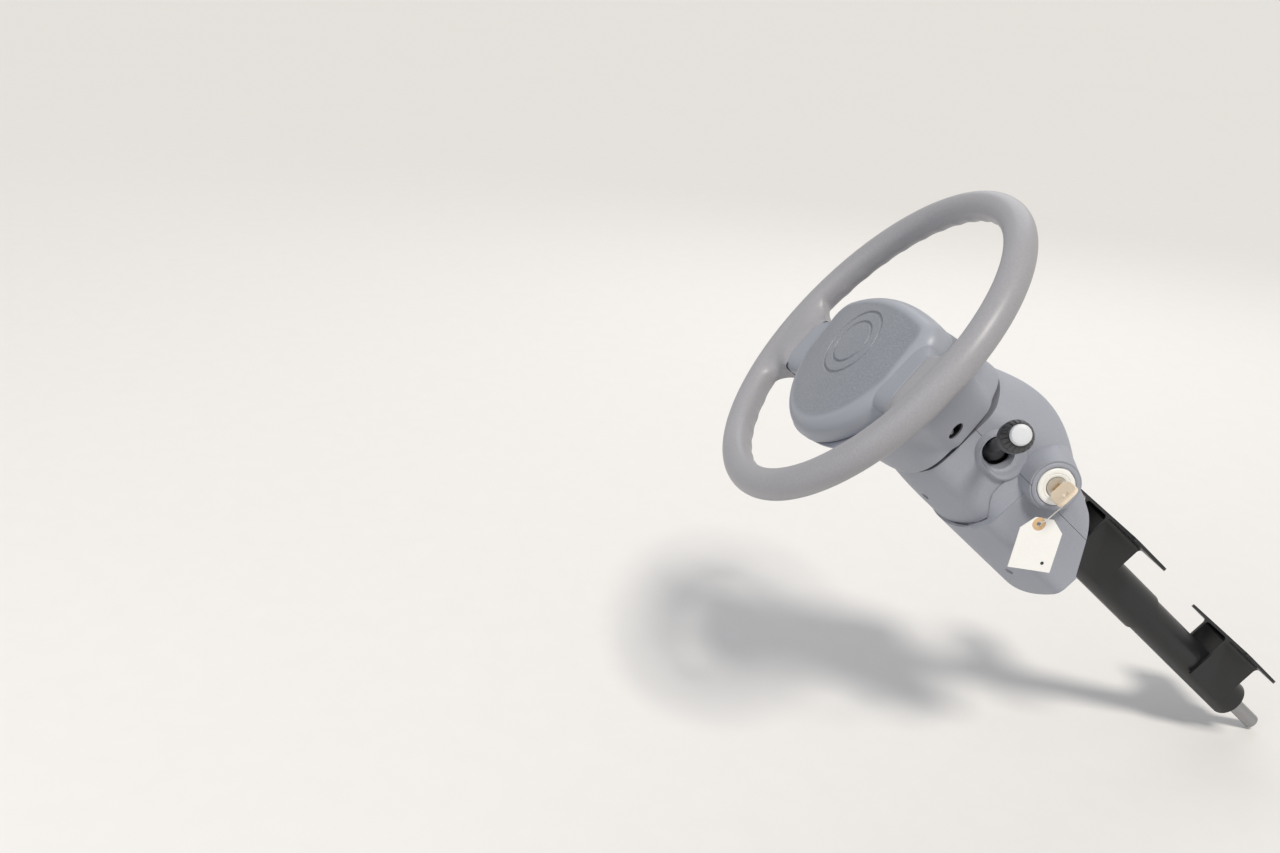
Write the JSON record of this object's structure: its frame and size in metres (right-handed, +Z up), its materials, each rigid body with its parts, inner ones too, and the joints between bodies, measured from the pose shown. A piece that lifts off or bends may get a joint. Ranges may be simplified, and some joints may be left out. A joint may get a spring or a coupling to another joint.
{
  "type": "steering wheel and column assembly of a kei truck",
  "caption": "Padded steering wheel on a tilted column with split covers, stalks, ignition lock with key, and brackets for bolting under a dashboard.",
  "frame": {"origin": "midway between the upper bracket's two bolt holes, on the bracket's upper face, which the vehicle's cross beam carries", "axes": "+X to the vehicle's right (outboard, driver's side), +Y forward, +Z up; the column rises 41.5 degrees above horizontal towards the driver"},
  "size_m": [0.379, 0.609, 0.5696],
  "materials": {
    "grip": "soft matt urethane",
    "pad": "fine leather grain",
    "cover": "fine grain",
    "steel": "black paint",
    "shaft": "machined",
    "alloy": "die-cast",
    "black": "moulded",
    "bezel": "cream",
    "metal": "plated",
    "key": "worn",
    "paper": "paper"
  },
  "bodies": {
    "column": {"column_tube": "steel", "upper_bearing": "shaft", "lower_bearing": "shaft", "upper_cover": "cover", "lower_cover": "cover", "switch_body": "black", "spiral_housing": "black", "right_stalk": "black", "right_knob": "black", "left_stalk": "black", "left_knob": "black", "lock_housing": "alloy", "lock_bezel": "bezel", "lock_rotor": "metal", "key": "key", "tag_string": "paper", "key_tag": "paper", "lower_tube": "steel", "upper_bracket": "steel", "lower_bracket": "steel"},
    "wheel": {"wheel_rim": "grip", "hub_pad": "pad", "hub_armature": "alloy", "rear_hub_cover": "cover", "steering_shaft": "shaft", "shaft_nut": "shaft"}
  },
  "joints": [
    {"name": "steering", "type": "hinge", "parent": "column", "child": "wheel", "pos_m": [0, -0.27764, 0.18421], "axis": [0, -0.749, 0.6626], "range_deg": [-641, 619]}
  ]
}
